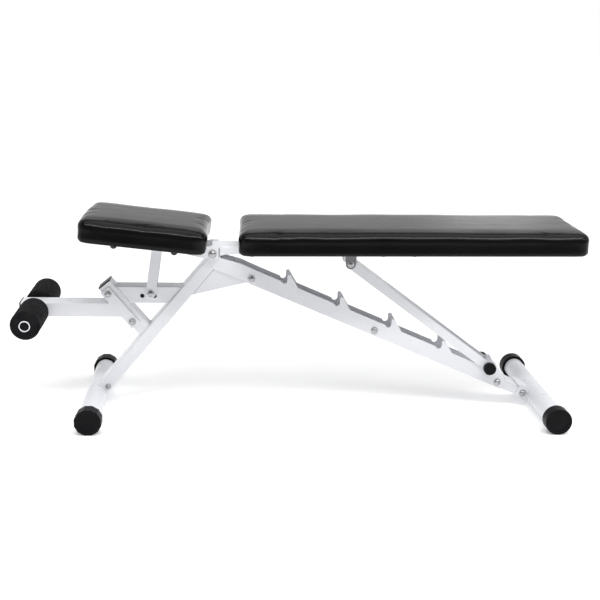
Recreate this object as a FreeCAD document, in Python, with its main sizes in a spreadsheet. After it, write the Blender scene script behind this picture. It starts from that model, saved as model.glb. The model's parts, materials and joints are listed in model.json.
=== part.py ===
import FreeCAD, Part
import math
import os
from FreeCAD import Placement, Rotation, Vector

# Adjustable sit-up bench: white steel frame on two round feet, foam foot rollers at the low-x end,
# a short seat pad, a long hinged backrest pad and a swinging strut whose pin drops in a toothed
# ladder.  Frame: +X from the rollers to the head end, +Z up, origin on the floor at the middle.

doc = FreeCAD.newDocument("bench")
sheet = doc.addObject("Spreadsheet::Sheet", "dims")

DIMENSIONS = [
    # round feet
    ("foot_radius", 25), ("foot_wall", 2), ("front_foot_half", 200),
    ("rear_foot_half", 208), ("front_foot_height", 30.7), ("rear_foot_height", 31.5),
    ("front_cap_radius", 30.7), ("rear_cap_radius", 31.9), ("cap_length", 30), ("cap_end", 4),
    ("cap_recess", 22), ("front_foot_pos", -498), ("rear_foot_pos", 600),
    # main leg
    ("leg_foot_pos", -495), ("leg_foot_height", 31.5), ("leg_angle", 50.54), ("leg_width", 50),
    ("leg_height", 30), ("tube_wall", 2), ("tube_corner", 3), ("leg_top_height", 376.5),
    # brace, post rail and roller arm
    ("brace_width", 40), ("brace_depth", 35), ("brace_top_pos", -472.5),
    ("brace_top_height", 308.9), ("brace_angle", 50.36), ("rail_height", 285.5), ("rail_depth", 42),
    ("arm_height", 35), ("arm_width", 50), ("arm_axis_height", 248.5), ("arm_start", -670),
    ("clamp_plate", 4.8), ("clamp_web", 2.5), ("clamp_flange", 25),
    # rollers
    ("axle_pos", -637), ("axle_height", 247), ("axle_radius", 12.7), ("axle_half", 156),
    ("foam_radius", 34.5), ("foam_inner", 30), ("foam_outer", 155), ("roller_gap", 0.06),
    # rear beam, toothed ladder
    ("beam_height", 25), ("beam_width", 50), ("ladder_angle", 22.96), ("beam_pos", -128.2),
    ("beam_axis_height", 331.4), ("ladder_bolt_first", 4.1), ("ladder_bolt_middle", 333),
    ("ladder_bolt_last", 677.6), ("ladder_plate", 4),
    ("ladder_inner", 25.2), ("tooth_step", 140.04), ("notch_radius", 7.2), ("tooth_rise", 14.2),
    ("ladder_top", 22.5), ("ladder_bottom", 13.5), ("saddle_plate", 3.5),
    # hinge
    ("hinge_pos", -217), ("hinge_height", 391), ("hinge_radius", 5), ("ear_radius", 12.5),
    ("ear_plate", 2.9), ("backrest_ear_inner", 29.7), ("seat_ear_inner", 33.1), ("seat_ear", 3),
    ("bush_radius", 9), ("running_gap", 0.06),
    # backrest
    ("back_tube_half", 32.6), ("back_tube_height", 20), ("back_tube_length", 620),
    ("back_tube_start", -196), ("back_rise", 0.5), ("back_pad_width", 276), ("pad_thickness", 50),
    ("back_pad_start", -161.5), ("back_pad_end", 667), ("pad_corner", 30), ("pad_edge", 13),
    ("pad_lower_edge", 5), ("board_thickness", 12), ("board_inset", 8),
    # strut
    ("strut_pivot_pos", 112.6), ("strut_pivot_height", 368.3), ("strut_pin_pos", 470.3),
    ("strut_pin_height", 106.3), ("strut_height", 22), ("strut_plate", 3), ("strut_inner", 30),
    ("strut_pin_radius", 6), ("strut_cap_radius", 15.2), ("strut_cap_length", 11),
    ("bracket_inner", 33.4), ("bracket_width", 28),
    # seat
    ("seat_tilt", 5.8), ("seat_tube_half", 33), ("seat_tube_height", 25), ("seat_top", 16.5),
    ("seat_pad_start", -312), ("seat_pad_end", -8.5), ("seat_pad_width", 272), ("pad_lean", 6),
    ("post_width", 24), ("post_plate", 4), ("post_local", -135.8), ("post_top", -131.4), ("post_bolt_depth", 115.2),
    ("rail_hole_radius", 5.3), ("rail_hole_drop", 7.1), ("rail_hole_left", 20.2),
    ("rail_hole_right", 8.8),
    # fasteners
    ("bolt_radius", 4), ("bolt_head_height", 5.3), ("bolt_head_radius", 7.5), ("washer_radius", 9),
    ("washer_height", 1.6), ("pad_bolt_spread", 27), ("drill_gap", 0.02),
]

for row, (alias, value) in enumerate(DIMENSIONS, start=1):
    sheet.set(f"A{row}", alias)
    sheet.set(f"B{row}", str(value))
    sheet.setAlias(f"B{row}", alias)
doc.recompute()


def dim(alias):
    """Value of one spreadsheet cell."""
    return float(getattr(sheet, alias))


def along_y(x, y_start, z):
    """Placement whose local Z runs along -Y from y_start."""
    return Placement(Vector(x, y_start, z), Rotation(Vector(1, 0, 0), 90))


def tilted(x, z, degrees):
    """Placement at (x, z) turned about Y, positive with the +X end going down."""
    return Placement(Vector(x, 0, z), Rotation(Vector(0, 1, 0), degrees))


def shift(x, y, z):
    """Pure translation."""
    return Placement(Vector(x, y, z), Rotation())


def bind(obj, **expressions):
    """Bind properties to expressions on the sheet."""
    for prop, expression in expressions.items():
        obj.setExpression(prop, expression)
    return obj


def box(name, length, width, height, placement):
    """Block whose three sizes are sheet expressions."""
    obj = doc.addObject("Part::Box", name)
    bind(obj, Length=length, Width=width, Height=height)
    obj.Placement = placement
    return obj


def cylinder(name, radius, height, placement):
    """Cylinder whose radius and height are sheet expressions."""
    obj = doc.addObject("Part::Cylinder", name)
    bind(obj, Radius=radius, Height=height)
    obj.Placement = placement
    return obj


def prism(name, sides, radius, height, placement):
    """Regular prism with a circumradius."""
    obj = doc.addObject("Part::Prism", name)
    obj.Polygon = sides
    bind(obj, Circumradius=radius, Height=height)
    obj.Placement = placement
    return obj


def fuse(name, shapes):
    """Union of several objects."""
    obj = doc.addObject("Part::MultiFuse", name)
    obj.Shapes = shapes
    return obj


def cut(name, base, tools):
    """Base less one or more tools."""
    obj = doc.addObject("Part::Cut", name)
    obj.Base = base
    obj.Tool = tools[0] if len(tools) == 1 else fuse(name + "_tools", tools)
    return obj


def group(name, members):
    """Several separate solids in one node."""
    obj = doc.addObject("Part::Compound", name)
    obj.Links = members
    return obj


def mirrored(name, source):
    """Copy of a piece on the other side of the middle plane."""
    obj = doc.addObject("Part::Mirroring", name)
    obj.Source = source
    obj.Normal = Vector(0, 1, 0)
    return obj


def drill(name, x, z, radius="dims.bolt_radius + dims.drill_gap"):
    """Tool for a hole along Y right through the bench."""
    return cylinder(name, radius, "2 * dims.rear_foot_half", along_y(x, dim("rear_foot_half"), z))


def rounded(name, base, place, rules):
    """Fillet of a piece; a rule holds a test on an edge's ends in the frame of place, and a radius."""
    doc.recompute()
    inverse = place.inverse()
    edges = []
    for index, edge in enumerate(base.Shape.Edges, start=1):
        ends = [inverse.multVec(vertex.Point) for vertex in edge.Vertexes]
        radii = [radius for test, radius in rules if test(ends)]
        if radii:
            edges.append((index, radii[0], radii[0]))
    obj = doc.addObject("Part::Fillet", name)
    obj.Base = base
    obj.Edges = edges
    return obj


def lengthwise(ends):
    """True for an edge that runs along local X."""
    return abs(ends[0].x - ends[-1].x) > 1


def upright(ends):
    """True for an edge that climbs along local Z."""
    return abs(ends[0].z - ends[-1].z) > 1


def tube(name, length, width, height, wall, placement):
    """Rectangular tube with rounded corners along its local X, centred in Y and Z."""
    half_width = doc_value(width) / 2
    half_height = doc_value(height) / 2
    thickness = doc_value(wall)
    outer = box(name + "_outer", length, width, height,
                placement * shift(0, -half_width, -half_height))
    inner = box(name + "_inner", length + " + 2", f"{width} - 2 * {wall}", f"{height} - 2 * {wall}",
                placement * shift(-1, thickness - half_width, thickness - half_height))
    corner = dim("tube_corner")
    return (rounded(name + "_outside", outer, placement, [(lengthwise, corner)]),
            rounded(name + "_inside", inner, placement, [(lengthwise, corner - thickness)]))


def doc_value(expression):
    """Number behind a simple sheet expression."""
    names = {alias: dim(alias) for alias, _ in DIMENSIONS}
    total = 0.0
    for term in expression.replace("dims.", "").split(" + "):
        product = 1.0
        for factor in term.split(" * "):
            product *= names[factor] if factor in names else float(factor)
        total += product
    return total


def plate(name, segments, thickness, inner_face):
    """Flat plate cut to an outline in the XZ plane, its inner face at y = -inner_face.

    segments holds points (lines) and triples of points (arcs through a middle point)."""
    body = doc.addObject("PartDesign::Body", name)
    sketch = body.newObject("Sketcher::SketchObject", name + "_outline")
    planes = [feature for feature in body.Origin.OriginFeatures if feature.Role == "XZ_Plane"]
    sketch.AttachmentSupport = (planes[0], [""])
    sketch.MapMode = "FlatFace"
    flat = [piece if isinstance(piece[0], tuple) else (piece,) for piece in segments]
    for index, piece in enumerate(flat):
        if len(piece) == 3:
            points = [Vector(x, z, 0) for x, z in piece]
            sketch.addGeometry(Part.Arc(*points), False)
        start = piece[-1]
        end = flat[(index + 1) % len(flat)][0]
        if math.dist(start, end) > 1e-6:
            sketch.addGeometry(Part.LineSegment(Vector(*start, 0), Vector(*end, 0)), False)
    pad = body.newObject("PartDesign::Pad", name + "_pad")
    pad.Profile = sketch
    pad.setExpression("Length", thickness)
    body.Placement = shift(0, -inner_face, 0)
    return body


def pair(name, segments, thickness, inner_face, holes=()):
    """Two mirrored plates with the same holes, as one node."""
    near = plate(name + "_near", segments, thickness, inner_face)
    if holes:
        near = cut(name + "_drilled", near, list(holes))
    return group(name, [near, mirrored(name + "_far", near)])


def circle_arc(center, radius, start_deg, end_deg):
    """Three points of an arc."""
    angles = [start_deg, (start_deg + end_deg) / 2, end_deg]
    return tuple((center[0] + radius * math.cos(math.radians(a)),
                  center[1] + radius * math.sin(math.radians(a))) for a in angles)


def domed(name, head, place, scale=1.0):
    """Head rounded over towards its outer face, which lies on the plane z = 0 of place."""
    ball = doc.addObject("Part::Sphere", name + "_ball")
    radius = 1.15 * dim("bolt_head_radius") * scale
    ball.Radius = radius
    ball.Placement = place * shift(0, 0, radius)
    obj = doc.addObject("Part::Common", name)
    obj.Base = head
    obj.Tool = ball
    return obj


def cross_bolt(name, x, z, half_grip, shank="dims.bolt_radius", scale="1"):
    """Hex bolt along Y, head and washer on the -Y side, nut and washer on the +Y side."""
    washer = dim("washer_height")
    head = dim("bolt_head_height") * float(scale)
    reach = half_grip + washer + head
    radius = f"dims.bolt_head_radius * {scale}"
    height = f"dims.bolt_head_height * {scale}"
    shaft_place = along_y(x, reach + 2, z)
    shaft = cylinder(name + "_shank", shank, str(2 * reach + 1), shaft_place)
    washer_radius = f"dims.washer_radius * {scale}"
    near_washer = cylinder(name + "_washer", washer_radius, "dims.washer_height",
                           along_y(x, -half_grip, z))
    head_prism = prism(name + "_head", 6, radius, height, along_y(x, -half_grip - washer, z))
    near_face = Placement(Vector(x, -reach, z), Rotation(Vector(1, 0, 0), -90))
    near_head = domed(name + "_dome", head_prism, near_face, float(scale))
    bolt = fuse(name + "_bolt", [shaft, near_washer, near_head])
    far_washer = cylinder(name + "_washer_far", washer_radius, "dims.washer_height",
                          along_y(x, half_grip + washer, z))
    nut_prism = prism(name + "_nut", 6, radius, height, along_y(x, reach, z))
    nut_dome = domed(name + "_nut_dome", nut_prism, along_y(x, reach, z), float(scale))
    nut_blank = fuse(name + "_nut_blank", [far_washer, nut_dome])
    bore = cylinder(name + "_nut_bore", shank, str(2 * reach + 1), shaft_place)
    return [bolt, cut(name + "_nut_bored", nut_blank, [bore])]


nodes = {}


def keep(name, obj):
    """Register a finished sub-part."""
    obj.Label = name
    nodes[name] = obj


# ---------------------------------------------------------------- derived positions
leg_slope = math.radians(dim("leg_angle"))
leg_foot = (dim("leg_foot_pos"), dim("leg_foot_height"))
leg_place = tilted(leg_foot[0], leg_foot[1], -dim("leg_angle"))
brace_place = tilted(dim("brace_top_pos"), dim("brace_top_height"), dim("brace_angle"))
hinge = (dim("hinge_pos"), dim("hinge_height"))
beam_angle = math.radians(dim("ladder_angle"))
beam_dir = (math.cos(beam_angle), -math.sin(beam_angle))
beam_up = (math.sin(beam_angle), math.cos(beam_angle))
beam_base = (dim("beam_pos"), dim("beam_axis_height"))
front_foot = (dim("front_foot_pos"), dim("front_foot_height"))
rear_foot = (dim("rear_foot_pos"), dim("rear_foot_height"))
seat_place = tilted(hinge[0], hinge[1], dim("seat_tilt"))
back_turn = shift(hinge[0], 0, hinge[1]) * tilted(0, 0, -dim("back_rise")) * shift(-hinge[0], 0, -hinge[1])


def on_beam(distance, height):
    """Point at a distance along the beam from its reference point, and a height off its axis."""
    return (beam_base[0] + distance * beam_dir[0] + height * beam_up[0],
            beam_base[1] + distance * beam_dir[1] + height * beam_up[1])


def off_beam(point):
    """Height of a point above the beam's axis."""
    return (point[0] - beam_base[0]) * beam_up[0] + (point[1] - beam_base[1]) * beam_up[1]


def on_brace(distance, offset):
    """Point along the brace from its top end, offset towards its lower left side."""
    point = brace_place.multVec(Vector(distance, 0, -offset))
    return (point.x, point.z)


def on_leg(distance, offset):
    """Point along the leg from the foot, offset towards its upper left side."""
    point = leg_place.multVec(Vector(distance, 0, offset))
    return (point.x, point.z)


# ---------------------------------------------------------------- feet
for side, center in (("front", front_foot), ("rear", rear_foot)):
    half = dim(f"{side}_foot_half")
    outer = cylinder(f"{side}_foot_outer", "dims.foot_radius",
                     f"2 * (dims.{side}_foot_half - dims.cap_end)",
                     along_y(center[0], half - dim("cap_end"), center[1]))
    inner = cylinder(f"{side}_foot_bore", "dims.foot_radius - dims.foot_wall",
                     f"2 * dims.{side}_foot_half", along_y(center[0], half, center[1]))
    keep(f"{side}_foot_tube", cut(f"{side}_foot", outer, [inner]))
    cap_place = along_y(center[0], -half + dim("cap_length"), center[1])
    turn = Placement(Vector(), Rotation(Vector(0, 0, 1), 15))
    if side == "front":
        blank = prism("front_cap_blank", 12, "dims.front_cap_radius / cos(15)", "dims.cap_length",
                      cap_place * turn)
        rim = rounded("front_cap_rim", blank, cap_place,
                      [(lambda ends: min(end.z for end in ends) > dim("cap_length") - 1, 1.5)])
    else:
        full = cylinder("rear_cap_full", "dims.rear_cap_radius", "dims.cap_length", cap_place)
        softened = rounded("rear_cap_rim", full, cap_place,
                           [(lambda ends: min(end.z for end in ends) > dim("cap_length") - 1, 3)])
        floor_block = box("rear_cap_floor", "100", "2 * dims.rear_foot_half", "20",
                          shift(center[0] - 50, -half, -20))
        rim = cut("rear_cap_flat", softened, [floor_block])
    socket = cylinder(f"{side}_cap_socket", "dims.foot_radius + dims.drill_gap",
                      "dims.cap_length - dims.cap_end", cap_place)
    recess = cylinder(f"{side}_cap_recess", "dims.cap_recess", "5",
                      cap_place * shift(0, 0, dim("cap_length") - 1.2))
    near_cap = cut(f"{side}_cap_near", rim, [socket, recess])
    keep(f"{side}_foot_caps", group(f"{side}_caps", [near_cap, mirrored(f"{side}_cap_far", near_cap)]))

# ---------------------------------------------------------------- main leg
leg_outer, leg_inner = tube("leg", "520", "dims.leg_width", "dims.leg_height", "dims.tube_wall",
                            leg_place * shift(-10, 0, 0))
leg_foot_cope = cylinder("leg_cope", "dims.foot_radius + 0.3", "120",
                         along_y(front_foot[0], 60, front_foot[1]))
leg_below = box("leg_below", "120", "120", "60", shift(front_foot[0] - 100, -60, front_foot[1] - 60))
leg_top_cut = box("leg_top_cut", "300", "120", "200", shift(-400, -60, dim("leg_top_height")))
foot_bolt = on_leg(33.5, -5)
foot_bolt_hole = drill("leg_foot_hole", *foot_bolt)
keep("main_leg", cut("main_leg_tube", leg_outer,
                     [leg_inner, leg_foot_cope, leg_below, leg_top_cut, foot_bolt_hole]))
tab_blank = box("front_tab_blank", "52", "42", "20", leg_place * shift(0, -21, -10))
tab_gap = box("front_tab_gap", "60", "34", "30", leg_place * shift(-2, -17, -15))
tab_cope = cylinder("front_tab_cope", "dims.foot_radius", "120", along_y(front_foot[0], 60, front_foot[1]))
tab_ears = cut("front_tab_ears", tab_blank, [tab_gap])
tab_hole = drill("front_tab_hole", *foot_bolt)
keep("front_foot_tab", cut("front_tab", tab_ears, [tab_cope, tab_hole]))
keep("front_foot_bolt", group("front_bolt", cross_bolt("front_foot_bolt_set", *foot_bolt, 25,
                                                      scale="0.8")))

# ---------------------------------------------------------------- brace, rail and roller arm
leg_solid = box("leg_solid", "520", "dims.leg_width + 4", "dims.leg_height",
                leg_place * shift(-10, -dim("leg_width") / 2 - 2, -dim("leg_height") / 2))
brace_bolts = [on_brace(21, 7.3), on_brace(109.5, 7.3)]
brace_outer, brace_inner = tube("brace", "169", "dims.brace_width", "dims.brace_depth",
                                "dims.tube_wall", brace_place)
brace_holes = [drill(f"brace_hole_{i}", *point) for i, point in enumerate(brace_bolts)]
keep("brace_tube", cut("brace", brace_outer, [brace_inner, leg_solid] + brace_holes))


def end_plug(name, width, height, place):
    """Plastic plug with a thin collar, pushed into the end of a tube that starts at place."""
    corner = dim("tube_corner")
    wall = dim("tube_wall")
    collar = box(name + "_collar", "3", width, height,
                 place * shift(-3, -doc_value(width) / 2, -doc_value(height) / 2))
    body = box(name + "_body", "12", f"{width} - 2 * dims.tube_wall", f"{height} - 2 * dims.tube_wall",
               place * shift(-1, wall - doc_value(width) / 2, wall - doc_value(height) / 2))
    return fuse(name + "_blank", [rounded(name + "_rim", collar, place, [(lengthwise, corner)]),
                                  rounded(name + "_core", body, place, [(lengthwise, corner - wall)])])


keep("brace_plug", end_plug("brace_plug", "dims.brace_width", "dims.brace_depth", brace_place))

brace_solid = box("brace_solid", "186", "60", "dims.brace_depth",
                  brace_place * shift(-5, -30, -dim("brace_depth") / 2))
rail_outer, rail_inner = tube("rail", "171", "dims.brace_width", "dims.rail_depth",
                              "dims.tube_wall", shift(-456, 0, dim("rail_height")))
post_bolt_point = seat_place.multVec(Vector(dim("post_local"), 0, -dim("post_bolt_depth")))
rail_holes = [drill("rail_hole_post", post_bolt_point.x, post_bolt_point.z, "dims.rail_hole_radius")]
for side, offset in (("left", -dim("rail_hole_left")), ("right", dim("rail_hole_right"))):
    rail_holes.append(drill(f"rail_hole_{side}", post_bolt_point.x + offset,
                            post_bolt_point.z - dim("rail_hole_drop"), "dims.rail_hole_radius"))
rail_leg_solid = box("rail_leg_solid", "520", "60", "dims.leg_height",
                     leg_place * shift(-10, -30, -dim("leg_height") / 2))
keep("post_rail", cut("post_rail_tube", rail_outer,
                      [rail_inner, brace_solid, rail_leg_solid] + rail_holes))

clamp_top, clamp_bottom = 9, 122.3
clamp_left = dim("brace_depth") / 2 + dim("clamp_web")
clamp_right = clamp_left - dim("clamp_flange")
clamp_outline = [on_brace(clamp_top, clamp_left), on_brace(clamp_bottom, clamp_left),
                 on_brace(clamp_bottom, clamp_right), on_brace(clamp_top, clamp_right)]
clamp_inner = dim("brace_width") / 2 + 0.1
clamp_half = clamp_inner + dim("clamp_plate")
clamp_holes = [drill(f"clamp_hole_{i}", *point) for i, point in enumerate(brace_bolts)]
flange = plate("clamp_flange", clamp_outline, "dims.clamp_plate", clamp_inner)
clamp_back = box("clamp_back", str(clamp_bottom - clamp_top), str(2 * clamp_half), "dims.clamp_web",
                 brace_place * shift(clamp_top, -clamp_half, -clamp_left))
keep("arm_clamp", cut("arm_clamp_drilled", fuse("arm_clamp_u", [flange, mirrored("flange_far", flange),
                                                               clamp_back]), clamp_holes))
arm_outer, arm_inner = tube("arm", "245", "dims.arm_width", "dims.arm_height", "dims.tube_wall",
                            shift(dim("arm_start"), 0, dim("arm_axis_height")))
arm_stop = box("arm_stop", "300", "120", "120", brace_place * shift(-60, -60, -clamp_left))
axle_hole = drill("arm_axle_hole", dim("axle_pos"), dim("axle_height"),
                  "dims.axle_radius + dims.drill_gap")
keep("roller_arm", cut("roller_arm_tube", arm_outer, [arm_inner, arm_stop, axle_hole]))
keep("arm_plug", end_plug("arm_plug", "dims.arm_width", "dims.arm_height",
                         shift(dim("arm_start"), 0, dim("arm_axis_height"))))
arm_bolt_parts = []
for i, point in enumerate(brace_bolts):
    arm_bolt_parts += cross_bolt(f"arm_bolt_{i}", *point, clamp_half)
keep("arm_bolts", group("arm_bolts_set", arm_bolt_parts))

# ---------------------------------------------------------------- foot rollers
axle_end = dim("axle_half")
axle = cylinder("axle_rod", "dims.axle_radius", "2 * dims.axle_half",
                along_y(dim("axle_pos"), axle_end, dim("axle_height")))
axle_bore = cylinder("axle_bore", "dims.axle_radius - 2.2", "2 * dims.axle_half + 2",
                     along_y(dim("axle_pos"), axle_end + 1, dim("axle_height")))
keep("roller_axle", cut("roller_axle_tube", axle, [axle_bore]))
axle_plug = cylinder("axle_plug", "dims.axle_radius - 2.2", "12",
                     along_y(dim("axle_pos"), -axle_end + 14, dim("axle_height")))
keep("axle_plugs", group("axle_plugs_set", [axle_plug, mirrored("axle_plug_far", axle_plug)]))
for side, start in (("near", -dim("foam_inner")), ("far", dim("foam_outer"))):
    foam = cylinder(f"foam_{side}", "dims.foam_radius", "dims.foam_outer - dims.foam_inner",
                    along_y(dim("axle_pos"), start, dim("axle_height")))
    foam_bore = cylinder(f"foam_{side}_bore", "dims.axle_radius + dims.roller_gap",
                         "dims.foam_outer + 20", along_y(dim("axle_pos"), start + 5, dim("axle_height")))
    soft_ends = rounded(f"foam_{side}_round", foam, along_y(dim("axle_pos"), 0, dim("axle_height")),
                        [(lambda ends: not upright(ends), 5)])
    keep(f"foam_roller_{side}", cut(f"foam_roller_{side}_tube", soft_ends, [foam_bore]))

# ---------------------------------------------------------------- rear beam and ladder
beam_place = tilted(*beam_base, dim("ladder_angle"))
ladder_bolts = [on_beam(dim(f"ladder_bolt_{place}"), 0) for place in ("first", "middle", "last")]
beam_start = -88
beam_outer, beam_inner = tube("beam", "880", "dims.beam_width", "dims.beam_height", "dims.tube_wall",
                              beam_place * shift(beam_start, 0, 0))
saddle_bolt = on_beam(751.8, -1)
beam_cope = cylinder("beam_cope", "dims.foot_radius + 0.3", "120",
                     along_y(rear_foot[0], 60, rear_foot[1]))
beam_tail = box("beam_tail", "120", "120", "120", shift(rear_foot[0], -60, -40))
beam_holes = [drill(f"beam_hole_{i}", *point) for i, point in enumerate(ladder_bolts)]
beam_holes.append(drill("beam_saddle_hole", *saddle_bolt))
beam_leg_solid = box("beam_leg_solid", "520", "60", "dims.leg_height",
                     leg_place * shift(-10, -30, -dim("leg_height") / 2))
keep("rear_beam", cut("rear_beam_tube", beam_outer,
                      [beam_inner, beam_cope, beam_tail, beam_leg_solid] + beam_holes))

pin = (dim("strut_pin_pos"), dim("strut_pin_height"))
tooth_vec = (dim("tooth_step") * beam_dir[0], dim("tooth_step") * beam_dir[1])
notches = [(pin[0] - k * tooth_vec[0], pin[1] - k * tooth_vec[1]) for k in (4, 3, 2, 1, 0)]
notch_r = dim("notch_radius")
notch_depth = off_beam(pin) - dim("ladder_top")
notch_half = math.sqrt(notch_r ** 2 - notch_depth ** 2)


def tooth(center):
    """One notch and its hooked tooth: floor arc, upright hook, flat crest, steep back."""
    left = (center[0] - notch_half * beam_dir[0] - notch_depth * beam_up[0],
            center[1] - notch_half * beam_dir[1] - notch_depth * beam_up[1])
    start = math.degrees(math.atan2(left[1] - center[1], left[0] - center[0])) % 360
    floor_arc = circle_arc(center, notch_r, start, 360)
    crest_z = center[1] + dim("tooth_rise")
    crest_start = (center[0] + notch_r, crest_z - 3)
    crest_mid = (center[0] + notch_r + 0.9, crest_z - 0.9)
    crest_end = (center[0] + notch_r + 3, crest_z)
    back_start = (center[0] + notch_r + 8, crest_z)
    fall = off_beam(back_start) - dim("ladder_top")
    drop = (math.cos(math.radians(-60)), math.sin(math.radians(-60)))
    run = fall / -(drop[0] * beam_up[0] + drop[1] * beam_up[1])
    back_end = (back_start[0] + run * drop[0], back_start[1] + run * drop[1])
    return [floor_arc, (crest_start, crest_mid, crest_end), back_start, back_end]


ladder_outline = [circle_arc(hinge, dim("ear_radius"), 215, 20)]
ladder_outline += [(hinge[0] + 21, hinge[1] - 12.5), on_beam(-34, 23.5), on_beam(13, 22.5)]
for center in notches:
    ladder_outline += tooth(center)
last_bolt = ladder_bolts[2]
ladder_outline.pop()
ladder_outline += [((last_bolt[0] + 15.5, last_bolt[1] + 11), (last_bolt[0] + 19.5, last_bolt[1] + 3),
                    (last_bolt[0] + 18, last_bolt[1] - 6)),
                   on_beam(dim("ladder_bolt_last") + 14, -dim("ladder_bottom")),
                   on_beam(beam_start, -dim("ladder_bottom"))]
ladder_holes = [drill(f"ladder_hole_{i}", *point) for i, point in enumerate(ladder_bolts)]
ladder_holes.append(drill("ladder_hinge_hole", *hinge, "dims.hinge_radius + dims.drill_gap"))
keep("ladder_plates", pair("ladder_plates_pair", ladder_outline, "dims.ladder_plate",
                           dim("ladder_inner"), ladder_holes))
ladder_bolt_parts = []
for i, point in enumerate(ladder_bolts):
    grip = dim("ladder_inner") + dim("ladder_plate")
    ladder_bolt_parts += cross_bolt(f"ladder_bolt_{i}", *point, grip)
keep("ladder_bolts", group("ladder_bolts_set", ladder_bolt_parts))

leg_half = dim("leg_height") / 2
gusset_outline = [on_leg(344, -leg_half), on_beam(0, -12.5), on_beam(-84, -12.5)]
gusset_leg = box("gusset_leg_solid", "520", "60", "dims.leg_height",
                 leg_place * shift(-10, -30, -leg_half))
gusset_near = plate("gusset_near", gusset_outline, "4", 21)
gusset_cut = cut("gusset_trimmed", gusset_near, [gusset_leg])
keep("gusset_plates", group("gussets", [gusset_cut, mirrored("gusset_far", gusset_cut)]))

saddle_outline = [on_beam(736, 13), (rear_foot[0] - 12, rear_foot[1] + 22),
                  (rear_foot[0] - 22, 13), (rear_foot[0] - 27, 13), on_beam(736, -13)]
saddle_side = plate("saddle_near", saddle_outline, "dims.saddle_plate", 25.2)
saddle_top = box("saddle_top", "46", "2 * (25.2 + dims.saddle_plate)", "3",
                 beam_place * shift(728, -25.2 - dim("saddle_plate"), 13))
saddle_far = mirrored("saddle_far", saddle_side)
saddle_cope = cylinder("saddle_cope", "dims.foot_radius + 0.05", "120",
                       along_y(rear_foot[0], 60, rear_foot[1]))
saddle_hole = drill("saddle_hole", *saddle_bolt)
keep("rear_saddle", cut("rear_saddle_bracket", fuse("saddle_blank", [saddle_side, saddle_far, saddle_top]),
                        [saddle_cope, saddle_hole]))
keep("rear_foot_bolt", group("rear_bolt", cross_bolt("rear_foot_bolt_set", *saddle_bolt, 28.7)))

# ---------------------------------------------------------------- hinge
hinge_half = dim("seat_ear_inner") + dim("seat_ear")
keep("hinge_bolt", group("hinge_bolt_set", cross_bolt("hinge_bolt_parts", *hinge, hinge_half,
                                                     "dims.hinge_radius", "1.15")))
bush = cylinder("bush_outer", "dims.bush_radius", "2 * dims.ladder_inner",
                along_y(hinge[0], dim("ladder_inner"), hinge[1]))
bush_hole = drill("bush_bore", *hinge, "dims.hinge_radius + dims.drill_gap")
keep("hinge_bush", cut("hinge_bush_tube", bush, [bush_hole]))

# ---------------------------------------------------------------- backrest
back_top = hinge[1] - 2.5 + dim("back_tube_height")
back_mid = back_top - dim("back_tube_height") / 2
back_outer, back_inner = tube("back", "dims.back_tube_length", "2 * dims.back_tube_half",
                              "dims.back_tube_height", "dims.tube_wall",
                              shift(dim("back_tube_start"), 0, back_mid))
back_tube = cut("back_tube", back_outer, [back_inner])
ear_outline = [circle_arc(hinge, dim("ear_radius"), 270, 95), (hinge[0] + 2, back_top),
               (hinge[0] + 19, back_top), (hinge[0] + 23, back_top - 4),
               (hinge[0] + 45, back_top - 4), (hinge[0] + 45, back_top - 16),
               (hinge[0] + 14, back_top - 24)]
back_ear = plate("back_ear", ear_outline, "dims.ear_plate", dim("backrest_ear_inner"))
back_ear_far = mirrored("back_ear_far", back_ear)
back_web = box("back_web", "30", "2 * dims.backrest_ear_inner + 1", "2.2",
               shift(hinge[0] - 1, -dim("backrest_ear_inner") - 0.5, back_top - 2.3))
spread = dim("pad_bolt_spread")
back_bolt_pos = [(x, y) for x in (-123, 192, 267) for y in (-spread, spread)]
back_holes = [cylinder(f"back_bolt_hole_{i}", "dims.bolt_radius + dims.drill_gap", "60",
                       shift(x, y, back_top - 30)) for i, (x, y) in enumerate(back_bolt_pos)]
back_hinge_hole = drill("back_hinge_hole", *hinge, "dims.hinge_radius + dims.running_gap")
keep("backrest_tube", cut("backrest_member", fuse("back_welded", [back_tube, back_ear, back_ear_far,
                                                                 back_web]),
                          back_holes + [back_hinge_hole]))


def padded_block(name, start, end, width, place, bottom):
    """Upholstered pad outline with soft edges; both ends lean out towards the top."""
    blank = doc.addObject("Part::Wedge", name + "_block")
    half = dim(width) / 2
    top = dim("pad_thickness")
    lean = dim("pad_lean")
    for prop, value in (("Xmin", start + lean), ("Xmax", end - lean), ("X2min", start), ("X2max", end),
                        ("Ymin", 0), ("Zmin", -half), ("Zmax", half), ("Z2min", -half),
                        ("Z2max", half)):
        setattr(blank, prop, value)
    bind(blank, Ymax="dims.pad_thickness")
    blank.Placement = place * Placement(Vector(0, 0, bottom), Rotation(Vector(1, 0, 0), 90))
    corners = rounded(name + "_corners", blank, place, [(upright, dim("pad_corner"))])
    return rounded(name + "_soft", corners, place,
                   [(lambda ends: min(end.z for end in ends) > bottom + top - 1, dim("pad_edge")),
                    (lambda ends: max(end.z for end in ends) < bottom + 1, dim("pad_lower_edge"))])


def board(name, start, end, width, place, bottom, bolts):
    """Plywood board let into the underside of a pad, drilled for its bolts."""
    inset = dim("board_inset")
    start += dim("pad_lean")
    end -= dim("pad_lean")
    blank = box(name + "_block", str(end - start - 2 * inset), f"dims.{width} - 2 * dims.board_inset",
                "dims.board_thickness", place * shift(start + inset, inset - dim(width) / 2, bottom))
    shaped = rounded(name + "_round", blank, place, [(upright, dim("pad_corner") - inset)])
    holes = [cylinder(f"{name}_hole_{i}", "dims.bolt_radius + dims.drill_gap", "9",
                      place * shift(x, y, bottom - 1)) for i, (x, y) in enumerate(bolts)]
    return shaped, cut(name + "_drilled", shaped, holes)


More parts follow.
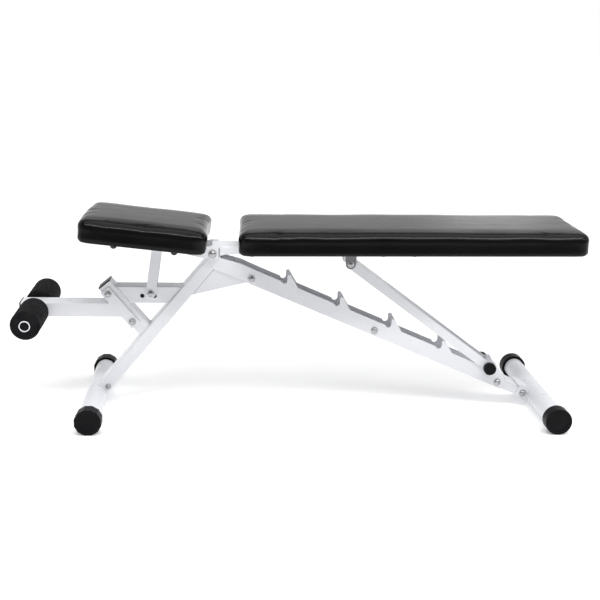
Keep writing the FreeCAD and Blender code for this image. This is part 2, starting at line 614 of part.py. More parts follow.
level = Placement()
back_span = (dim("back_pad_start"), dim("back_pad_end"), "back_pad_width", level, back_top)
back_soft = padded_block("back_pad", *back_span)
back_board_blank, back_board = board("back_board", *back_span, back_bolt_pos)
keep("backrest_board", back_board)
keep("backrest_pad", cut("backrest_cushion", back_soft, [back_board_blank]))


def pad_bolt(name, x, y, place, tube_bottom, board_bottom):
    """Hex bolt with a washer, from under the tube up into the board."""
    seat_level = tube_bottom - dim("washer_height")
    washer = cylinder(name + "_washer", "dims.bolt_head_radius + 0.4", "dims.washer_height",
                      place * shift(x, y, seat_level))
    head = prism(name + "_head", 6, "dims.bolt_head_radius", "dims.bolt_head_height",
                 place * shift(x, y, seat_level - dim("bolt_head_height")))
    shank = cylinder(name + "_shank", "dims.bolt_radius", str(board_bottom + 8 - seat_level),
                     place * shift(x, y, seat_level))
    dome = domed(name + "_dome", head, head.Placement)
    return fuse(name, [washer, dome, shank])


back_bolts = [pad_bolt(f"back_bolt_{i}", x, y, level, back_top - dim("back_tube_height"), back_top)
              for i, (x, y) in enumerate(back_bolt_pos)]
keep("backrest_bolts", group("back_bolts", back_bolts))

# ---------------------------------------------------------------- strut bracket and strut
pivot = (dim("strut_pivot_pos"), dim("strut_pivot_height"))
pivot_level = back_turn.inverse().multVec(Vector(pivot[0], 0, pivot[1]))
bracket_half = dim("bracket_width") / 2
bracket_top = back_top - dim("back_tube_height")
bracket_outline = [(pivot_level.x - bracket_half, bracket_top),
                   circle_arc((pivot_level.x, pivot_level.z), 12, 180, 360),
                   (pivot_level.x + bracket_half, bracket_top)]
bracket_ear = plate("bracket_ear", bracket_outline, "3", dim("bracket_inner"))
bracket_web = box("bracket_web", "dims.bracket_width", "2 * (dims.bracket_inner + 3)", "3",
                  shift(pivot_level.x - bracket_half, -dim("bracket_inner") - 3, bracket_top - 3))
bracket_hole = drill("bracket_hole", pivot_level.x, pivot_level.z)
keep("strut_bracket", cut("strut_bracket_u", fuse("bracket_blank", [bracket_ear,
                          mirrored("bracket_ear_far", bracket_ear), bracket_web]), [bracket_hole]))
keep("strut_pivot_bolt", group("strut_pivot_set", cross_bolt("strut_pivot_parts", pivot_level.x,
                                                            pivot_level.z, dim("bracket_inner") + 3,
                                                            scale="0.85")))
for name in ("backrest_tube", "backrest_board", "backrest_pad", "backrest_bolts", "strut_bracket",
             "strut_pivot_bolt"):
    nodes[name].Placement = back_turn

strut_angle = math.degrees(math.atan2(pivot[1] - pin[1], pin[0] - pivot[0]))
strut_place = tilted(pivot[0], pivot[1], strut_angle)
strut_length = math.dist(pivot, pin)
half_h = dim("strut_height") / 2
strut_width = "2 * (dims.strut_inner + dims.strut_plate)"
outer_y = dim("strut_inner") + dim("strut_plate")


def on_strut(distance, height):
    """Point along the strut from its pivot."""
    point = strut_place.multVec(Vector(distance, 0, height))
    return (point.x, point.z)


arm_outline = [(on_strut(0, half_h), on_strut(-half_h, 0), on_strut(0, -half_h)),
               (on_strut(strut_length, -half_h), on_strut(strut_length + half_h, 0),
                on_strut(strut_length, half_h))]
strut_arm = plate("strut_arm", arm_outline, "dims.strut_plate", dim("strut_inner"))
strut_arm_far = mirrored("strut_arm_far", strut_arm)
strut_web = box("strut_web", "112", strut_width, "dims.strut_plate",
                strut_place * shift(14, -outer_y, half_h - dim("strut_plate")))
web_notch = cylinder("web_notch", "22", "20", strut_place * shift(126, 0, half_h - 10))
web_cut = cut("strut_web_cut", strut_web, [web_notch])
strut_holes = [drill("strut_pivot_hole", *pivot, "dims.bolt_radius + dims.running_gap"),
               drill("strut_pin_hole", *pin, "dims.strut_pin_radius + dims.drill_gap")]
keep("strut", cut("strut_fork", fuse("strut_blank", [strut_arm, strut_arm_far, web_cut]), strut_holes))
pin_half = outer_y + 3 + dim("strut_cap_length") - 3
keep("strut_pin", cylinder("strut_pin_rod", "dims.strut_pin_radius", str(2 * pin_half),
                           along_y(pin[0], pin_half, pin[1])))
boss = cylinder("pin_boss", "12.5", "3", along_y(pin[0], -outer_y, pin[1]))
boss_hole = drill("boss_hole", *pin, "dims.strut_pin_radius + dims.drill_gap")
boss_near = cut("pin_boss_near", boss, [boss_hole])
keep("pin_washers", group("pin_washers_set", [boss_near, mirrored("pin_boss_far", boss_near)]))
knob = cylinder("pin_knob", "dims.strut_cap_radius", "dims.strut_cap_length",
                along_y(pin[0], -outer_y - 3, pin[1]))
knob_hole = cylinder("knob_hole", "dims.strut_pin_radius + dims.drill_gap", str(2 * pin_half + 0.04),
                     along_y(pin[0], pin_half + 0.02, pin[1]))
knob_near = cut("pin_knob_near", knob, [knob_hole])
keep("pin_caps", group("pin_caps_set", [knob_near, mirrored("pin_knob_far", knob_near)]))

# ---------------------------------------------------------------- seat
seat_top = dim("seat_top")
seat_bottom = seat_top - dim("seat_tube_height")
seat_outer, seat_inner = tube("seat", "250", "2 * dims.seat_tube_half", "dims.seat_tube_height",
                              "dims.tube_wall", seat_place * shift(-272, 0, (seat_top + seat_bottom) / 2))
seat_bolt_pos = [(x, y) for x in (-232, -90) for y in (-spread, spread)]
seat_holes = [cylinder(f"seat_bolt_hole_{i}", "dims.bolt_radius + dims.drill_gap", "60",
                       seat_place * shift(x, y, seat_top - 40)) for i, (x, y) in enumerate(seat_bolt_pos)]
keep("seat_tube", cut("seat_member", seat_outer, [seat_inner] + seat_holes))


def seat_point(x, z):
    """World point of a place given in the tilted seat frame."""
    point = seat_place.multVec(Vector(x, 0, z))
    return (point.x, point.z)


ear_top = seat_top - 0.1
seat_ear_outline = [seat_point(-58, ear_top), seat_point(-58, seat_bottom), seat_point(-24, -12.5),
                    (hinge[0] + 11, hinge[1] - 13.5),
                    ((hinge[0] + 11.5, hinge[1] - 13.5), (hinge[0] + 13.6, hinge[1] - 12.6),
                     (hinge[0] + 14.5, hinge[1] - 10.5)),
                    (hinge[0] + 14.5, hinge[1] + 20), (hinge[0] - 4, hinge[1] + 20),
                    seat_point(-12, ear_top)]
seat_ear_hole = drill("seat_ear_hole", *hinge, "dims.hinge_radius + dims.drill_gap")
keep("seat_hinge_plates", pair("seat_ears", seat_ear_outline, "dims.seat_ear", dim("seat_ear_inner"),
                               [seat_ear_hole]))
seat_soft = padded_block("seat_pad", dim("seat_pad_start"), dim("seat_pad_end"), "seat_pad_width",
                         seat_place, seat_top)
seat_board_blank, seat_board = board("seat_board", dim("seat_pad_start"), dim("seat_pad_end"),
                                     "seat_pad_width", seat_place, seat_top, seat_bolt_pos)
keep("seat_board", seat_board)
keep("seat_pad", cut("seat_cushion", seat_soft, [seat_board_blank]))
seat_bolts = [pad_bolt(f"seat_bolt_{i}", x, y, seat_place, seat_bottom, seat_top)
              for i, (x, y) in enumerate(seat_bolt_pos)]
keep("seat_bolts", group("seat_bolts_set", seat_bolts))

post_x = dim("post_local")
post_inner = 20.3
post_outer = post_inner + dim("post_plate")
post_half = dim("post_width") / 2
post_depth = dim("post_bolt_depth")
post_top = dim("post_top")
post_outline = [seat_point(post_top - post_half, seat_bottom), seat_point(post_x - post_half, -post_depth),
                (seat_point(post_x - post_half, -post_depth),
                 seat_point(post_x, -post_depth - post_half), seat_point(post_x + post_half, -post_depth)),
                seat_point(post_top + post_half, seat_bottom)]
post_bar = plate("post_bar", post_outline, "dims.post_plate", post_inner)
post_web = box("post_web", "dims.post_width", str(2 * post_outer), "4",
               seat_place * shift(post_top - post_half, -post_outer, seat_bottom - 4))
post_hole = drill("post_hole", post_bolt_point.x, post_bolt_point.z)
keep("seat_post", cut("seat_post_fork", fuse("post_blank", [post_bar, mirrored("post_bar_far", post_bar),
                                                           post_web]), [post_hole]))
keep("seat_post_bolt", group("post_bolt_set", cross_bolt("post_bolt_parts", post_bolt_point.x,
                                                        post_bolt_point.z, post_outer)))

# ---------------------------------------------------------------- check and write
doc.recompute()
problems = [obj.Name for obj in doc.Objects if "Invalid" in obj.State or "Error" in obj.State]
for name, obj in nodes.items():
    if obj.Shape.isNull() or not obj.Shape.isValid() or not obj.Shape.Solids:
        problems.append(name)
if problems:
    raise RuntimeError("failed objects: " + ", ".join(problems))
os.makedirs("parts", exist_ok=True)
for name, obj in nodes.items():
    obj.Shape.exportStep(f"parts/{name}.step")
    bounds = obj.Shape.BoundBox
    print(f"{name:20s} solids {len(obj.Shape.Solids)} volume {obj.Shape.Volume:10.0f}"
          f" x {bounds.XMin:8.2f}..{bounds.XMax:8.2f} y {bounds.YMin:8.2f}..{bounds.YMax:8.2f}"
          f" z {bounds.ZMin:8.2f}..{bounds.ZMax:8.2f}")
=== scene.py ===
import json
import math

import bmesh
import bpy
from mathutils import Matrix, Vector


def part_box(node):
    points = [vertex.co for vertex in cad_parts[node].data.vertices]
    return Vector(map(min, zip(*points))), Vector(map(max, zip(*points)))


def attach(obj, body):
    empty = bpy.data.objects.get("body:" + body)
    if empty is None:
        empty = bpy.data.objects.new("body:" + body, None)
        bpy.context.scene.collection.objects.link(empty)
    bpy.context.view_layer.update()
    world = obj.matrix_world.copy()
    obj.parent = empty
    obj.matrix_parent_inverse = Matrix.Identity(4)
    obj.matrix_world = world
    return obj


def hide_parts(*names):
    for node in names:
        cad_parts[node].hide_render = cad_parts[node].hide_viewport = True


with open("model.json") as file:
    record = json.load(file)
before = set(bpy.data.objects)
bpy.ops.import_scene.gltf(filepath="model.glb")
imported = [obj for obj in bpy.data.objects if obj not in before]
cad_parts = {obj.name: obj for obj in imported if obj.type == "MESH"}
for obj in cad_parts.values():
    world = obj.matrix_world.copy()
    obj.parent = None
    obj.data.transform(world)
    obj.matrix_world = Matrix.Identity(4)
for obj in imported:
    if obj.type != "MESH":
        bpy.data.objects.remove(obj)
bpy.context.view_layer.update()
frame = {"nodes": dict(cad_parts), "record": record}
NODES = frame["nodes"]


# ------------------------------------------------------------------ node helpers
class Shader:
    """A node material with a Principled shader and small building blocks."""

    def __init__(self, name):
        self.material = bpy.data.materials.new(name)
        self.material.use_nodes = True
        self.tree = self.material.node_tree
        self.shader = self.tree.nodes["Principled BSDF"]
        self.coords = self.tree.nodes.new("ShaderNodeTexCoord").outputs["Object"]

    def set(self, **values):
        for name, value in values.items():
            self.shader.inputs[name.replace("_", " ")].default_value = value

    def link(self, source, target):
        self.tree.links.new(source, self.shader.inputs[target])

    def noise(self, scale, detail=4.0, roughness=0.55, stretch=None):
        node = self.tree.nodes.new("ShaderNodeTexNoise")
        node.inputs["Scale"].default_value = scale
        node.inputs["Detail"].default_value = detail
        node.inputs["Roughness"].default_value = roughness
        self.tree.links.new(self.stretched(stretch), node.inputs["Vector"])
        return node.outputs["Fac"]

    def cells(self, scale, feature="F1", stretch=None):
        node = self.tree.nodes.new("ShaderNodeTexVoronoi")
        node.feature = feature
        node.inputs["Scale"].default_value = scale
        self.tree.links.new(self.stretched(stretch), node.inputs["Vector"])
        return node.outputs["Distance"]

    def stretched(self, stretch):
        if stretch is None:
            return self.coords
        node = self.tree.nodes.new("ShaderNodeMapping")
        node.inputs["Scale"].default_value = stretch
        self.tree.links.new(self.coords, node.inputs["Vector"])
        return node.outputs["Vector"]

    def ramp(self, source, low, high, start=0.3, end=0.7):
        node = self.tree.nodes.new("ShaderNodeMapRange")
        node.inputs["From Min"].default_value = start
        node.inputs["From Max"].default_value = end
        node.inputs["To Min"].default_value = low
        node.inputs["To Max"].default_value = high
        self.tree.links.new(source, node.inputs["Value"])
        return node.outputs["Result"]

    def blend(self, factor, first, second):
        node = self.tree.nodes.new("ShaderNodeMix")
        node.data_type = "RGBA"
        node.inputs["A"].default_value = (*first, 1)
        node.inputs["B"].default_value = (*second, 1)
        self.tree.links.new(factor, node.inputs["Factor"])
        return node.outputs["Result"]

    def bump(self, height, strength, distance):
        node = self.tree.nodes.new("ShaderNodeBump")
        node.inputs["Strength"].default_value = strength
        node.inputs["Distance"].default_value = distance
        self.tree.links.new(height, node.inputs["Height"])
        if self.shader.inputs["Normal"].is_linked:
            previous = self.shader.inputs["Normal"].links[0].from_socket
            self.tree.links.new(previous, node.inputs["Normal"])
        self.tree.links.new(node.outputs["Normal"], self.shader.inputs["Normal"])


def powder_coat(name, base, shade, roughness):
    """Glossy baked paint with a faint orange peel."""
    s = Shader(name)
    s.set(Coat_Weight=0.2, Coat_Roughness=0.15, Specular_IOR_Level=0.4)
    s.link(s.blend(s.ramp(s.noise(6, 3), 0, 1), base, shade), "Base Color")
    s.link(s.ramp(s.noise(40, 3), roughness - 0.04, roughness + 0.06), "Roughness")
    s.bump(s.noise(420, 2), 0.10, 0.0004)
    s.bump(s.noise(35, 2), 0.05, 0.001)
    return s.material


def vinyl(name):
    """Black leather-look vinyl: pebble grain, satin gloss, faint rub marks."""
    s = Shader(name)
    s.set(Specular_IOR_Level=0.16)
    s.link(s.blend(s.ramp(s.noise(9, 5), 0, 1), (0.0014, 0.0014, 0.0018), (0.0032, 0.0032, 0.0038)),
           "Base Color")
    s.link(s.ramp(s.noise(25, 6), 0.14, 0.20), "Roughness")
    s.bump(s.cells(620), 0.22, 0.0003)
    s.bump(s.noise(260, 5), 0.12, 0.0003)
    s.bump(s.noise(14, 3, stretch=(0.6, 2.2, 1)), 0.12, 0.004)
    return s.material


def foam(name):
    """Closed-cell black foam: matt, finely pitted."""
    s = Shader(name)
    s.set(Specular_IOR_Level=0.06)
    s.link(s.blend(s.ramp(s.noise(60, 6), 0, 1), (0.006, 0.006, 0.007), (0.014, 0.014, 0.015)),
           "Base Color")
    s.link(s.ramp(s.noise(80, 4), 0.70, 0.86), "Roughness")
    s.bump(s.cells(900), 0.5, 0.0005)
    s.bump(s.noise(300, 6), 0.4, 0.0006)
    return s.material


def plastic(name):
    """Moulded black plastic with a fine spark texture."""
    s = Shader(name)
    s.set(Specular_IOR_Level=0.07)
    s.link(s.blend(s.ramp(s.noise(30, 3), 0, 1), (0.004, 0.004, 0.005), (0.008, 0.008, 0.009)),
           "Base Color")
    s.link(s.ramp(s.noise(120, 3), 0.30, 0.40), "Roughness")
    s.bump(s.noise(900, 3), 0.18, 0.0003)
    return s.material


def zinc(name):
    """Bright zinc plate with fine turning marks and cloudy patches."""
    s = Shader(name)
    s.set(Metallic=1.0)
    s.link(s.blend(s.ramp(s.noise(120, 5), 0, 1), (0.30, 0.30, 0.31), (0.54, 0.54, 0.55)),
           "Base Color")
    s.link(s.ramp(s.noise(300, 4), 0.26, 0.44), "Roughness")
    s.bump(s.noise(900, 3, stretch=(1, 12, 1)), 0.12, 0.0002)
    return s.material


def black_steel(name):
    """Blackened steel, dull with oily patches."""
    s = Shader(name)
    s.set(Metallic=0.6)
    s.link(s.blend(s.ramp(s.noise(150, 4), 0, 1), (0.030, 0.028, 0.027), (0.075, 0.070, 0.066)),
           "Base Color")
    s.link(s.ramp(s.noise(260, 4), 0.38, 0.55), "Roughness")
    s.bump(s.noise(700, 3), 0.15, 0.0002)
    return s.material


def backing(name):
    """Thin black non-woven cover: dull, with a fine fleece and shallow creases."""
    s = Shader(name)
    s.set(Specular_IOR_Level=0.1)
    s.link(s.blend(s.ramp(s.noise(400, 6), 0, 1), (0.010, 0.010, 0.010), (0.026, 0.026, 0.027)),
           "Base Color")
    s.link(s.ramp(s.noise(90, 3), 0.80, 0.95), "Roughness")
    s.bump(s.cells(500), 0.35, 0.0004)
    s.bump(s.noise(11, 4, stretch=(0.5, 3, 1)), 0.25, 0.003)
    return s.material


MATERIALS = {
    "white_paint": powder_coat("white_powder_coat", (0.76, 0.77, 0.80), (0.72, 0.73, 0.765), 0.30),
    "grey_paint": powder_coat("dark_grey_coat", (0.20, 0.20, 0.21), (0.16, 0.16, 0.17), 0.38),
    "black_plastic": plastic("black_moulded_plastic"),
    "zinc": zinc("zinc_plate"),
    "foam": foam("black_foam"),
    "black_steel": black_steel("black_steel"),
    "backing": backing("black_backing"),
    "black_vinyl": vinyl("black_vinyl"),
}

for part in frame["record"]["subparts"]:
    node = NODES[part["node"]]
    for slot in node.material_slots:
        slot.material = MATERIALS[part["material_slot"]]


# ------------------------------------------------------------------ mesh helpers
def add_mesh(name, bm, material):
    """Object from a bmesh."""
    mesh = bpy.data.meshes.new(name)
    bm.normal_update()
    bm.to_mesh(mesh)
    bm.free()
    obj = bpy.data.objects.new(name, mesh)
    bpy.context.scene.collection.objects.link(obj)
    mesh.materials.append(material)
    for face in mesh.polygons:
        face.use_smooth = True
    return obj


def apply_modifiers(obj):
    """Replaces the mesh by its evaluated one."""
    depsgraph = bpy.context.evaluated_depsgraph_get()
    mesh = bpy.data.meshes.new_from_object(obj.evaluated_get(depsgraph))
    obj.modifiers.clear()
    obj.data = mesh


def smooth_step(value):
    value = min(max(value, 0.0), 1.0)
    return value * value * (3 - 2 * value)


# The hinge bolt's axis, the two tubes that turn about it, and each board's height above its tube's axis.
HINGE = Vector((-0.217, 0, 0.391))
SEAT_FRAME = Matrix.Translation(HINGE) @ Matrix.Rotation(math.radians(5.8), 4, "Y")
BACK_FRAME = Matrix.Translation(HINGE) @ Matrix.Rotation(math.radians(-0.5), 4, "Y")
SEAT_BASE = 0.0165
BACK_BASE = 0.0175
BOARD_GAP = 0.0006

PAD_HEIGHT = 0.0475
PAD_LEAN = 0.006
PAD_SKEW = 0.03
SIDE_SAG = 0.0026
VOXEL = 0.005
SWELL_CAP = 0.004
CROWN_RISE = 0.002
PLEAT_DEPTH = 0.0007


def pad_block(name, start, end, half_width):
    """Rounded block for a cushion, standing on z = 0; its ends lean out towards the top."""
    bm = bmesh.new()
    bmesh.ops.create_cube(bm, size=1)
    for vert in bm.verts:
        top = vert.co.z > 0
        inset = 0 if top else PAD_LEAN
        vert.co.x = end - inset if vert.co.x > 0 else start + inset
        vert.co.y = half_width if vert.co.y > 0 else -half_width
        vert.co.z = PAD_HEIGHT if top else 0
    upright = [e for e in bm.edges if abs(e.verts[0].co.z - e.verts[1].co.z) > PAD_HEIGHT / 2]
    bmesh.ops.bevel(bm, geom=upright, offset=0.026, segments=8, profile=0.5, affect="EDGES")
    rim = [e for e in bm.edges if min(v.co.z for v in e.verts) > PAD_HEIGHT - 1e-5]
    bmesh.ops.bevel(bm, geom=rim, offset=0.016, segments=7, profile=0.5, affect="EDGES")
    base = [e for e in bm.edges if max(v.co.z for v in e.verts) < 1e-5]
    bmesh.ops.bevel(bm, geom=base, offset=0.003, segments=2, profile=0.5, affect="EDGES")
    return add_mesh(name, bm, MATERIALS["black_vinyl"])


def inflate(obj):
    """Blows the pad up a little with cloth pressure; its underside stays flat on the board."""
    remesh = obj.modifiers.new("remesh", "REMESH")
    remesh.mode = "VOXEL"
    remesh.voxel_size = VOXEL
    apply_modifiers(obj)
    start = [vert.co.copy() for vert in obj.data.vertices]
    cloth = obj.modifiers.new("cloth", "CLOTH")
    cloth.settings.use_pressure = True
    cloth.settings.uniform_pressure_force = 4
    cloth.settings.effector_weights.gravity = 0
    cloth.settings.quality = 5
    cloth.point_cache.frame_start = 1
    cloth.point_cache.frame_end = 20
    for step in range(1, 21):
        bpy.context.scene.frame_set(step)
    apply_modifiers(obj)
    bpy.context.scene.frame_set(1)
    for vert, old in zip(obj.data.vertices, start):
        move = vert.co - old
        if move.length > SWELL_CAP:
            move *= SWELL_CAP / move.length
        vert.co = old + move * smooth_step((old.z - 0.002) / (PAD_HEIGHT * 0.6))


def finish_pad(obj, place, body, node):
    subdivide = obj.modifiers.new("subdivide", "SUBSURF")
    subdivide.levels = 1
    apply_modifiers(obj)
    obj.data.transform(place)
    for face in obj.data.polygons:
        face.use_smooth = True
    obj.data.materials.clear()
    obj.data.materials.append(MATERIALS["black_vinyl"])
    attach(obj, body)
    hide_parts(node)


def crown(obj, start, end, half_width):
    """Gentle crown of the foam across the top face."""
    for vert in obj.data.vertices:
        across = 1 - (vert.co.y / half_width) ** 2
        ends = min(vert.co.x - start, end - vert.co.x) / 0.09
        lift = CROWN_RISE * max(across, 0) ** 0.6 * smooth_step(ends)
        vert.co.z += lift * smooth_step((vert.co.z - PAD_HEIGHT * 0.5) / (PAD_HEIGHT * 0.5))


def settle(obj, half_width, hollow):
    """The padding hangs a little below its board along both long sides and sits slightly askew.

    A hollow pad stays back in the middle of its ends, clear of the tube beside it.
    """
    for vert in obj.data.vertices:
        side = smooth_step((abs(vert.co.y) / half_width - 0.55) / 0.35)
        vert.co.z -= SIDE_SAG * side
        wave = math.sin(vert.co.x * 15 + 1) + 0.6 * math.sin(vert.co.x * 37)
        vert.co.z += 0.0006 * wave * side * smooth_step(vert.co.z / PAD_HEIGHT)
        outer = smooth_step((abs(vert.co.y) - 0.03) / 0.09) if hollow else 1
        vert.co.x += PAD_SKEW * (vert.co.y + half_width * outer)


def pleats(obj, start, end, half_width):
    """Shallow gathers where the cover is pulled round the corners, fading towards the top."""
    radius = 0.034
    for vert in obj.data.vertices:
        corner_x = min(max(vert.co.x, start + radius), end - radius)
        corner_y = min(max(vert.co.y, radius - half_width), half_width - radius)
        out = Vector((vert.co.x - corner_x, vert.co.y - corner_y, 0))
        if out.length < radius * 0.6 or min(abs(out.x), abs(out.y)) < 1e-4:
            continue
        turn = math.atan2(abs(out.y), abs(out.x)) / (math.pi / 2)
        fold = math.cos(turn * 5 * 2 * math.pi) * math.sin(turn * math.pi)
        fade = 1 - smooth_step((vert.co.z / PAD_HEIGHT - 0.15) / 0.6)
        vert.co += out.normalized() * PLEAT_DEPTH * (fold - 1) * fade


def make_pad(name, start, end, half_width, place, body, node, hollow=False):
    """One upholstered cushion between two places along its tube."""
    pad = pad_block(name, start - 0.0015, end, half_width - 0.0025)
    inflate(pad)
    crown(pad, start, end, half_width)
    pleats(pad, start, end, half_width)
    settle(pad, half_width, hollow)
    finish_pad(pad, place, body, node)


make_pad("backrest_cushion", 0.0555, 0.884, 0.138,
         BACK_FRAME @ Matrix.Translation((0, 0, BACK_BASE + BOARD_GAP)), "backrest", "backrest_pad")
make_pad("seat_cushion", -0.312, -0.0108, 0.136,
         SEAT_FRAME @ Matrix.Translation((0, 0, SEAT_BASE + BOARD_GAP)), "frame", "seat_pad", hollow=True)


# ------------------------------------------------------------------ welds
def edge_line(x, z, degrees, offset):
    """Line in the XZ plane: a point and a direction, moved sideways by offset."""
    angle = math.radians(degrees)
    along = Vector((math.cos(angle), math.sin(angle)))
    return Vector((x, z)) + offset * Vector((-along.y, along.x)), along


def crossing(first, second):
    """Point where two lines of edge_line meet."""
    gap = second[0] - first[0]
    share = (gap.x * second[1].y - gap.y * second[1].x) / (
        first[1].x * second[1].y - first[1].y * second[1].x)
    return first[0] + share * first[1]


def add_bead(bm, start, end, y, radius=0.0019):
    """Rippled weld bead between two points of the XZ plane, at depth y."""
    first, last = (Vector((point.x, y, point.y)) for point in (start, end))
    along = (last - first).normalized()
    side = along.cross(Vector((0, 1, 0)))
    steps = max(int((last - first).length / 0.0008), 4)
    previous = None
    for step in range(steps + 1):
        share = step / steps
        centre = first.lerp(last, share)
        ripple = 1 + 0.16 * math.sin(2 * math.pi * share * (last - first).length / 0.0034)
        size = radius * ripple * min(1.0, 0.35 + 6 * min(share, 1 - share))
        ring = []
        for turn in range(8):
            angle = turn * math.pi / 4
            ring.append(bm.verts.new(centre + size * (math.cos(angle) * side
                                                      + math.sin(angle) * Vector((0, 1, 0)))))
        if previous:
            for turn in range(8):
                bm.faces.new((previous[turn], previous[turn - 1], ring[turn - 1], ring[turn]))
        else:
            bm.faces.new(ring)
        previous = ring
    bm.faces.new(list(reversed(previous)))


# Axes of the welded tubes in the XZ plane: a point, and the slope in degrees.
LEG = (-0.495, 0.0315, 50.54)
BRACE = (-0.4725, 0.3089, -50.36)
RAIL = (-0.4, 0.2855, 0)
LADDER = (-0.1282, 0.3314, -22.96)
LEG_HALF = 0.015
BRACE_HALF = 0.0175
RAIL_HALF = 0.021
LADDER_HALF = 0.0133

# Half widths across the bench at which the beads and the dark lines of painted shade lie.
TUBE_FACE = 0.0198
GUSSET_FACE = 0.0257
EAR_FACE = 0.0337


def weld_beads():
    """Beads at the corners of leg, brace and rail, on both faces."""
    leg_left = edge_line(*LEG, LEG_HALF)
    brace_right = edge_line(*BRACE, BRACE_HALF)
    brace_left = edge_line(*BRACE, -BRACE_HALF)
    rail_top = edge_line(*RAIL, RAIL_HALF)
    rail_low = edge_line(*RAIL, -RAIL_HALF)
    bm = bmesh.new()
    for face in (-TUBE_FACE, TUBE_FACE):
        add_bead(bm, crossing(leg_left, rail_low), crossing(leg_left, rail_top), face)
        add_bead(bm, crossing(brace_right, rail_low), crossing(brace_right, rail_top), face)
        add_bead(bm, crossing(leg_left, brace_right), crossing(leg_left, brace_left), face)
    declare_beads("weld_beads", bm, "white_paint")


def painted_shade_lines():
    """Dark lines of painted shade: the shadow along the ladder plates' lower edge on the gussets and the
    shadow gap beside the hinge ears.
    """
    ladder_low = edge_line(*LADDER, -LADDER_HALF)
    gusset_tip = ladder_low[0]
    gusset_corner = crossing(edge_line(*LEG, -LEG_HALF), ladder_low)
    ear_low = Vector((-0.2014, 0.3815))
    ear_top = Vector((-0.2012, 0.4050))
    bm = bmesh.new()
    # Dark grey beads painted as shade, standing in for the shadows at the gusset edges and beside the
    # ears.
    for side in (-1, 1):
        add_bead(bm, gusset_corner, gusset_tip, side * GUSSET_FACE, 0.0013)
        add_bead(bm, ear_low, ear_top, side * EAR_FACE, 0.0009)
    declare_beads("painted_shade_seams", bm, "grey_paint")


def declare_beads(name, bm, slot):
    """Turns finished beads into a piece that rides with the frame."""
    bmesh.ops.recalc_face_normals(bm, faces=bm.faces)
    beads = add_mesh(name, bm, MATERIALS[slot])
    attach(beads, "frame")


weld_beads()
# Painted shade: dark lines where shadows fall at the gussets and the hinge ears.
painted_shade_lines()


# ------------------------------------------------------------------ foam rollers
def foam_sleeve(name, node, body):
    """Foam tube: softly rounded, slightly dished ends and a faint barrel shape."""
    low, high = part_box(node)
    axis = (low + high) / 2
    radius = (high.z - low.z) / 2
    bore = 0.0129
    half = (high.y - low.y) / 2
    profile = [(bore, -half + 0.0015), (bore + 0.004, -half + 0.0004), (radius - 0.012, -half)]
    for step in range(7):
        angle = math.radians(-90 + 15 * step)
        profile.append((radius - 0.0085 + 0.008 * math.cos(angle),
                        -half + 0.008 + 0.008 * math.sin(angle)))
    for step in range(1, 12):
        place = -1 + step / 6
        profile.append((radius - 0.0005 * (1 + place * place), place * (half - 0.012)))
    for step in range(7):
        angle = math.radians(15 * step)
        profile.append((radius - 0.0085 + 0.008 * math.cos(angle),
                        half - 0.008 + 0.008 * math.sin(angle)))
    profile += [(radius - 0.012, half), (bore + 0.004, half - 0.0004), (bore, half - 0.0015)]
    bm = bmesh.new()
    sides = 72
    rings = []
    for step in range(sides):
        angle = 2 * math.pi * step / sides
        rings.append([bm.verts.new((axis.x + reach * math.cos(angle), axis.y + along,
                                    axis.z + reach * math.sin(angle))) for reach, along in profile])
    for step in range(sides):
        first, second = rings[step], rings[(step + 1) % sides]
        for point in range(len(profile)):
            after = (point + 1) % len(profile)
            bm.faces.new((first[point], first[after], second[after], second[point]))
    bmesh.ops.recalc_face_normals(bm, faces=bm.faces)
    sleeve = add_mesh(name, bm, MATERIALS["foam"])
    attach(sleeve, body)
    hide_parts(node)


foam_sleeve("foam_sleeve_near", "foam_roller_near", "roller_near")
foam_sleeve("foam_sleeve_far", "foam_roller_far", "roller_far")


# ------------------------------------------------------------------ floor, light, camera
def floor():
    """White studio floor."""
    bm = bmesh.new()
    bmesh.ops.create_grid(bm, x_segments=2, y_segments=2, size=30)
    s = Shader("studio_floor")
    s.set(Base_Color=(0.93, 0.93, 0.93, 1), Roughness=0.85, Specular_IOR_Level=0.1,
          Emission_Color=(1, 1, 1, 1), Emission_Strength=0.24)
    obj = add_mesh("studio_floor", bm, s.material)


def area_light(name, location, target, size, power):
    """Rectangular soft light aimed at a point."""
    light = bpy.data.lights.new(name, "AREA")
    light.shape = "RECTANGLE"
    light.size, light.size_y = size
    light.energy = power
    obj = bpy.data.objects.new(name, light)
    obj.location = location
    obj.rotation_euler = (Vector(target) - Vector(location)).to_track_quat("-Z", "Y").to_euler()
    bpy.context.scene.collection.objects.link(obj)


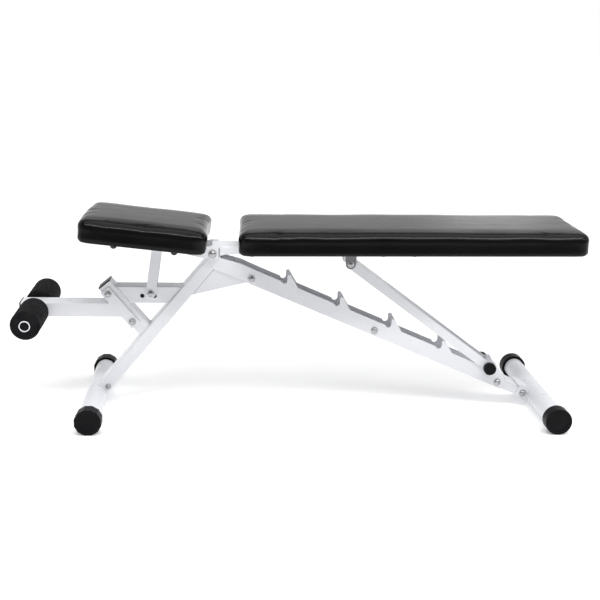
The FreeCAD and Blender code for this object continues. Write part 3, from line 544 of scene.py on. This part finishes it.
def studio_world():
    """White surroundings that are brightest near the horizon behind the object."""
    world = bpy.data.worlds.new("studio")
    world.use_nodes = True
    tree = world.node_tree
    background = tree.nodes["Background"]
    direction = tree.nodes.new("ShaderNodeSeparateXYZ")
    tree.links.new(tree.nodes.new("ShaderNodeTexCoord").outputs["Generated"], direction.inputs[0])

    def span(source, start, end, low, high):
        node = tree.nodes.new("ShaderNodeMapRange")
        node.interpolation_type = "SMOOTHSTEP"
        for name, value in (("From Min", start), ("From Max", end), ("To Min", low), ("To Max", high)):
            node.inputs[name].default_value = value
        tree.links.new(source, node.inputs["Value"])
        return node.outputs["Result"]

    def times(first, second):
        node = tree.nodes.new("ShaderNodeMath")
        node.operation = "MULTIPLY"
        tree.links.new(first, node.inputs[0])
        tree.links.new(second, node.inputs[1])
        return node.outputs[0]

    horizon = times(span(direction.outputs["Y"], -0.5, 0.2, 0.3, 0.75),
                    span(direction.outputs["Z"], 0.45, 0.75, 1.0, 0.45))
    window = times(span(direction.outputs["X"], 0.19, 0.24, 0, 1),
                   span(direction.outputs["X"], 0.28, 0.34, 1, 0))
    gain = tree.nodes.new("ShaderNodeMath")
    gain.operation = "MULTIPLY_ADD"
    tree.links.new(window, gain.inputs[0])
    gain.inputs[1].default_value = 0.5
    gain.inputs[2].default_value = 1.0
    seen = tree.nodes.new("ShaderNodeMix")
    tree.links.new(tree.nodes.new("ShaderNodeLightPath").outputs["Is Camera Ray"],
                   seen.inputs["Factor"])
    tree.links.new(times(horizon, gain.outputs[0]), seen.inputs["A"])
    seen.inputs["B"].default_value = 1.0
    tree.links.new(seen.outputs["Result"], background.inputs["Strength"])
    background.inputs["Color"].default_value = (1, 1, 1, 1)
    bpy.context.scene.world = world


floor()
studio_world()
bpy.context.scene.view_settings.view_transform = "Standard"
area_light("strip_softbox", (0.1, -1.25, 2.5), (0, 0, 0.4), (3.6, 0.3), 44)
area_light("side_softbox", (2.4, -1.2, 1.9), (0.2, 0, 0.3), (0.9, 0.9), 9)
sun = bpy.data.objects.new("overhead", bpy.data.lights.new("overhead", "SUN"))
sun.data.energy = 1.6
sun.data.angle = math.radians(70)
sun.rotation_euler = (math.radians(6), math.radians(6), 0)
bpy.context.scene.collection.objects.link(sun)

YAW = math.radians(4.61)
PITCH = math.radians(15.73)
ROLL = math.radians(1.59)
forward = Vector((math.sin(YAW) * math.cos(PITCH), math.cos(YAW) * math.cos(PITCH), -math.sin(PITCH)))
right = Vector((math.cos(YAW), -math.sin(YAW), 0))
up = right.cross(forward)
right_rolled = right * math.cos(ROLL) + up * math.sin(ROLL)
up_rolled = up * math.cos(ROLL) - right * math.sin(ROLL)
camera = bpy.data.objects.new("camera", bpy.data.cameras.new("camera"))
rotation = Matrix((right_rolled, up_rolled, -forward)).transposed().to_4x4()
camera.matrix_world = Matrix.Translation((-0.191, -2.319, 0.9245)) @ rotation
camera.data.sensor_width = 36
camera.data.lens = 59.34
bpy.context.scene.collection.objects.link(camera)
bpy.context.scene.camera = camera
